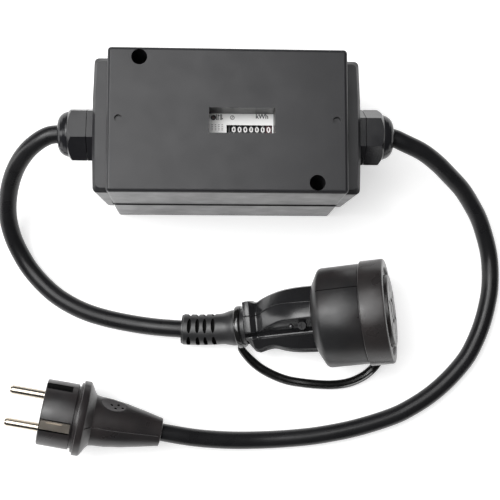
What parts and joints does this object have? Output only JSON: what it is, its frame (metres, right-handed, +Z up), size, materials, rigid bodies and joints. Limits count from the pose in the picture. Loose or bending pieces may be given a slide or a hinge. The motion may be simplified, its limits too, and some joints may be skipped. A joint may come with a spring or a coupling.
{
  "type": "portable energy meter",
  "caption": "Portable inline energy meter: black box with a reading window over a drum register, mains lead with earthed plug, and lead with capped coupling.",
  "frame": {"origin": "middle of the box's base, on the surface that the box and its leads lie on", "axes": "+X along the box towards the gland of the plug's lead, +Y across it away from the leads, +Z up through the window"},
  "size_m": [0.2853, 0.2128, 0.08],
  "materials": {
    "housing_black": "satin moulded ABS",
    "rubber_black": "smooth rubber",
    "plug_black": "satin moulded thermoplastic",
    "gland_black": "glossy polyamide",
    "meter_grey": "fine moulded grain",
    "face_white": "printed plate",
    "drum_black": "printed drum",
    "drum_red": "printed drum",
    "gear_white": "moulded acetal",
    "led_red": "clear red lens",
    "steel": "zinc plated",
    "brass": "turned brass",
    "nickel": "nickel plated brass",
    "copper": "bare copper",
    "board_green": "solder mask",
    "wire_brown": "PVC insulation",
    "wire_blue": "PVC insulation",
    "wire_green": "PVC insulation"
  },
  "bodies": {
    "housing": {"upper_housing": "housing_black", "lower_housing": "housing_black", "housing_gasket": "rubber_black", "cover_screws": "steel", "din_rail": "steel", "rail_screws": "steel", "meter_base": "meter_grey", "meter_cover": "meter_grey", "meter_face": "face_white", "meter_led": "led_red", "meter_terminals": "brass", "terminal_screws": "steel", "meter_board": "board_green", "current_shunt": "copper", "step_motor": "steel", "register_frame": "drum_black", "register_axle": "steel", "live_wires": "wire_brown", "neutral_wires": "wire_blue", "earth_wire": "wire_green", "cord_ends": "rubber_black", "left_gland_body": "gland_black", "right_gland_body": "gland_black", "left_dome_nut": "gland_black", "right_dome_nut": "gland_black", "gland_lock_nuts": "gland_black", "gland_seals": "rubber_black", "coupling_cord": "rubber_black", "coupling_boot": "rubber_black", "coupling_grip": "plug_black", "coupling_body": "plug_black", "coupling_insert": "plug_black", "contact_tubes": "brass", "coupling_earth_clips": "brass", "grip_screw": "steel", "cap_strap": "rubber_black", "strap_ring": "rubber_black", "plug_cord": "rubber_black", "plug_body": "plug_black", "plug_pins": "nickel", "plug_earth_clips": "nickel"},
    "motor_pinion": {"motor_pinion": "brass"},
    "idler_gear": {"idler_gear": "gear_white"},
    "din_latch": {"din_latch": "drum_black"},
    "coupling_cap": {"coupling_cap": "rubber_black"},
    "drum_1": {"drum_1": "drum_black"},
    "drum_2": {"drum_2": "drum_black"},
    "drum_3": {"drum_3": "drum_black"},
    "drum_4": {"drum_4": "drum_black"},
    "drum_5": {"drum_5": "drum_black"},
    "drum_6": {"drum_6": "drum_black"},
    "drum_7": {"drum_7": "drum_red"}
  },
  "joints": [
    {"name": "drum_7_spin", "type": "hinge", "parent": "housing", "child": "drum_7", "pos_m": [0.02158, -0.0025, 0.06], "axis": [1, 0, 0], "continuous": true},
    {"name": "drum_6_spin", "type": "hinge", "parent": "housing", "child": "drum_6", "pos_m": [0.01855, -0.0025, 0.06], "axis": [1, 0, 0], "continuous": true},
    {"name": "drum_5_spin", "type": "hinge", "parent": "housing", "child": "drum_5", "pos_m": [0.01552, -0.0025, 0.06], "axis": [1, 0, 0], "continuous": true},
    {"name": "drum_4_spin", "type": "hinge", "parent": "housing", "child": "drum_4", "pos_m": [0.01249, -0.0025, 0.06], "axis": [1, 0, 0], "continuous": true},
    {"name": "drum_3_spin", "type": "hinge", "parent": "housing", "child": "drum_3", "pos_m": [0.00946, -0.0025, 0.06], "axis": [1, 0, 0], "continuous": true},
    {"name": "drum_2_spin", "type": "hinge", "parent": "housing", "child": "drum_2", "pos_m": [0.00643, -0.0025, 0.06], "axis": [1, 0, 0], "continuous": true},
    {"name": "drum_1_spin", "type": "hinge", "parent": "housing", "child": "drum_1", "pos_m": [0.0034, -0.0025, 0.06], "axis": [1, 0, 0], "continuous": true},
    {"name": "idler_spin", "type": "hinge", "parent": "housing", "child": "idler_gear", "pos_m": [0.02338, 0.0004, 0.05203], "axis": [1, 0, 0], "continuous": true},
    {"name": "pinion_spin", "type": "hinge", "parent": "housing", "child": "motor_pinion", "pos_m": [0.02338, 0.0004, 0.04635], "axis": [1, 0, 0], "continuous": true},
    {"name": "latch_slide", "type": "slide", "parent": "housing", "child": "din_latch", "axis": [-1, 0, 0], "range_m": [0, 0.003], "stiffness_N_per_m": 250, "springref_m": -0.001},
    {"name": "cap_slide", "type": "slide", "parent": "housing", "child": "coupling_cap", "axis": [0.9562, 0.0988, 0.2756], "range_m": [0, 0.03], "deforming": ["cap_strap"]}
  ],
  "couplings": [
    {"joint": "drum_6_spin", "follows": "drum_7_spin", "ratio": 0.1},
    {"joint": "drum_5_spin", "follows": "drum_7_spin", "ratio": 0.01},
    {"joint": "drum_4_spin", "follows": "drum_7_spin", "ratio": 0.001},
    {"joint": "drum_3_spin", "follows": "drum_7_spin", "ratio": 0.0001},
    {"joint": "drum_2_spin", "follows": "drum_7_spin", "ratio": 0.00001},
    {"joint": "drum_1_spin", "follows": "drum_7_spin", "ratio": 0.000001},
    {"joint": "idler_spin", "follows": "drum_7_spin", "ratio": -1.3333},
    {"joint": "pinion_spin", "follows": "drum_7_spin", "ratio": 2.4}
  ]
}
